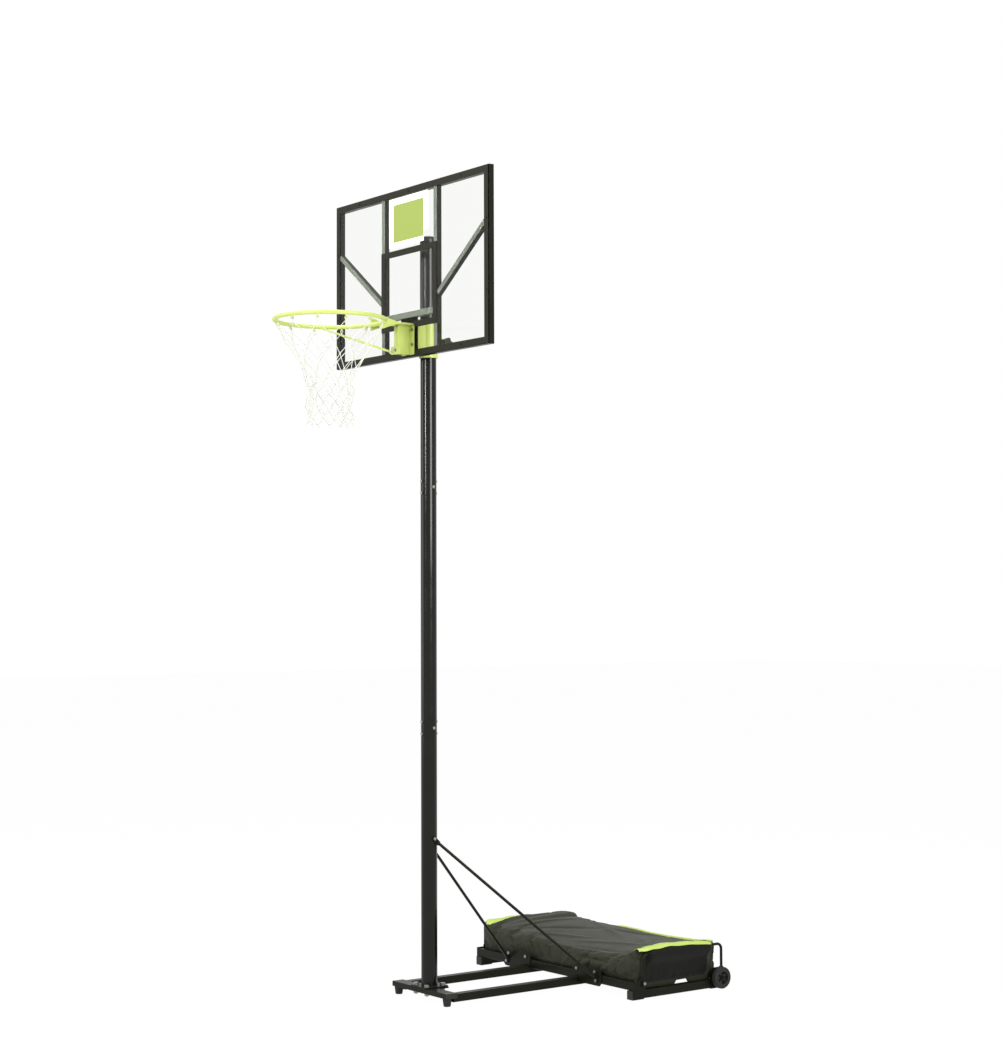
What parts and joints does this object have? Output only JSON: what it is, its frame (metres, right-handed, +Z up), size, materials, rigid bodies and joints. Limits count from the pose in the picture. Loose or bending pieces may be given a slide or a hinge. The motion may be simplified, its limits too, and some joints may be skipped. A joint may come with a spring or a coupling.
{
  "type": "portable basketball hoop",
  "caption": "Free-standing basketball hoop: clear framed backboard with ring and net, sliding on a tall sectional pole over a low wheeled base weighed down by a ballast bag",
  "frame": {"origin": "on the ground under the middle of the whole hoop's bounding box", "axes": "X across the board to its right as a player behind it sees it, Y from the ring back towards the ballast, Z up"},
  "size_m": [1.2246, 1.9505, 3.514],
  "materials": {
    "black_powder": "olive-black powder coat, semi-gloss",
    "lime_powder": "lime green powder coat, satin",
    "zinc": "bright zinc plate",
    "clear_panel": "clear polycarbonate sheet with a printed border",
    "black_plastic": "moulded black plastic",
    "rubber": "moulded black rubber",
    "tyre": "solid rubber tread",
    "net_cord": "white knotted cord",
    "bag_cloth": "black woven polyester with lime piping",
    "concrete": "cast concrete"
  },
  "bodies": {
    "base": {"bag_hoop_left": "black_powder", "bag_hoop_right": "black_powder", "ballast_bag": "bag_cloth", "ballast_slabs": "concrete", "base_bolts": "zinc", "base_shelf": "black_powder", "beam_left": "black_powder", "beam_right": "black_powder", "corner_plates": "black_powder", "end_rail_left": "black_powder", "end_rail_right": "black_powder", "foot_studs": "zinc", "front_crossbar": "black_powder", "front_foot_left": "rubber", "front_foot_right": "rubber", "front_rail": "black_powder", "hoop_bolts": "zinc", "lower_pole": "black_powder", "middle_pole": "black_powder", "plate_bolts": "zinc", "pole_cap": "black_plastic", "pole_flange": "black_powder", "rail_shoes": "black_plastic", "rear_rail": "black_powder", "splice_bolts": "zinc", "strut_left": "black_powder", "strut_plates": "black_powder", "strut_pole_bolt": "zinc", "strut_right": "black_powder", "tray_slats": "black_powder", "tube_end_caps": "black_plastic", "upper_pole": "black_powder", "wheel_axles": "black_powder", "wheel_plates": "black_powder"},
    "board": {"backboard_panel": "clear_panel", "cross_tube": "black_powder", "diagonal_left": "black_powder", "diagonal_right": "black_powder", "frame_bottom": "black_powder", "frame_left": "black_powder", "frame_right": "black_powder", "frame_top": "black_powder", "mount_bolts": "zinc", "mount_plate": "black_powder", "net": "net_cord", "panel_screws": "black_powder", "pole_sleeve": "lime_powder", "ring": "lime_powder", "ring_bolts": "zinc", "ring_bracket": "lime_powder", "upright_left": "black_powder", "upright_right": "black_powder"},
    "left_wheel": {"left_hub": "black_plastic", "left_tyre": "tyre"},
    "right_wheel": {"right_hub": "black_plastic", "right_tyre": "tyre"},
    "knob": {"clamp_knob": "black_plastic"}
  },
  "joints": [
    {"name": "board_height", "type": "slide", "parent": "base", "child": "board", "axis": [0, 0, 1], "range_m": [-0.45, 0.15]},
    {"name": "left_wheel_roll", "type": "hinge", "parent": "base", "child": "left_wheel", "pos_m": [-0.595, 0.92775, 0.049], "axis": [1, 0, 0], "continuous": true},
    {"name": "right_wheel_roll", "type": "hinge", "parent": "base", "child": "right_wheel", "pos_m": [0.595, 0.92775, 0.049], "axis": [1, 0, 0], "continuous": true},
    {"name": "knob_turn", "type": "hinge", "parent": "board", "child": "knob", "pos_m": [0.05, -0.16725, 2.837], "axis": [1, 0, 0], "range_deg": [-540, 0]}
  ]
}
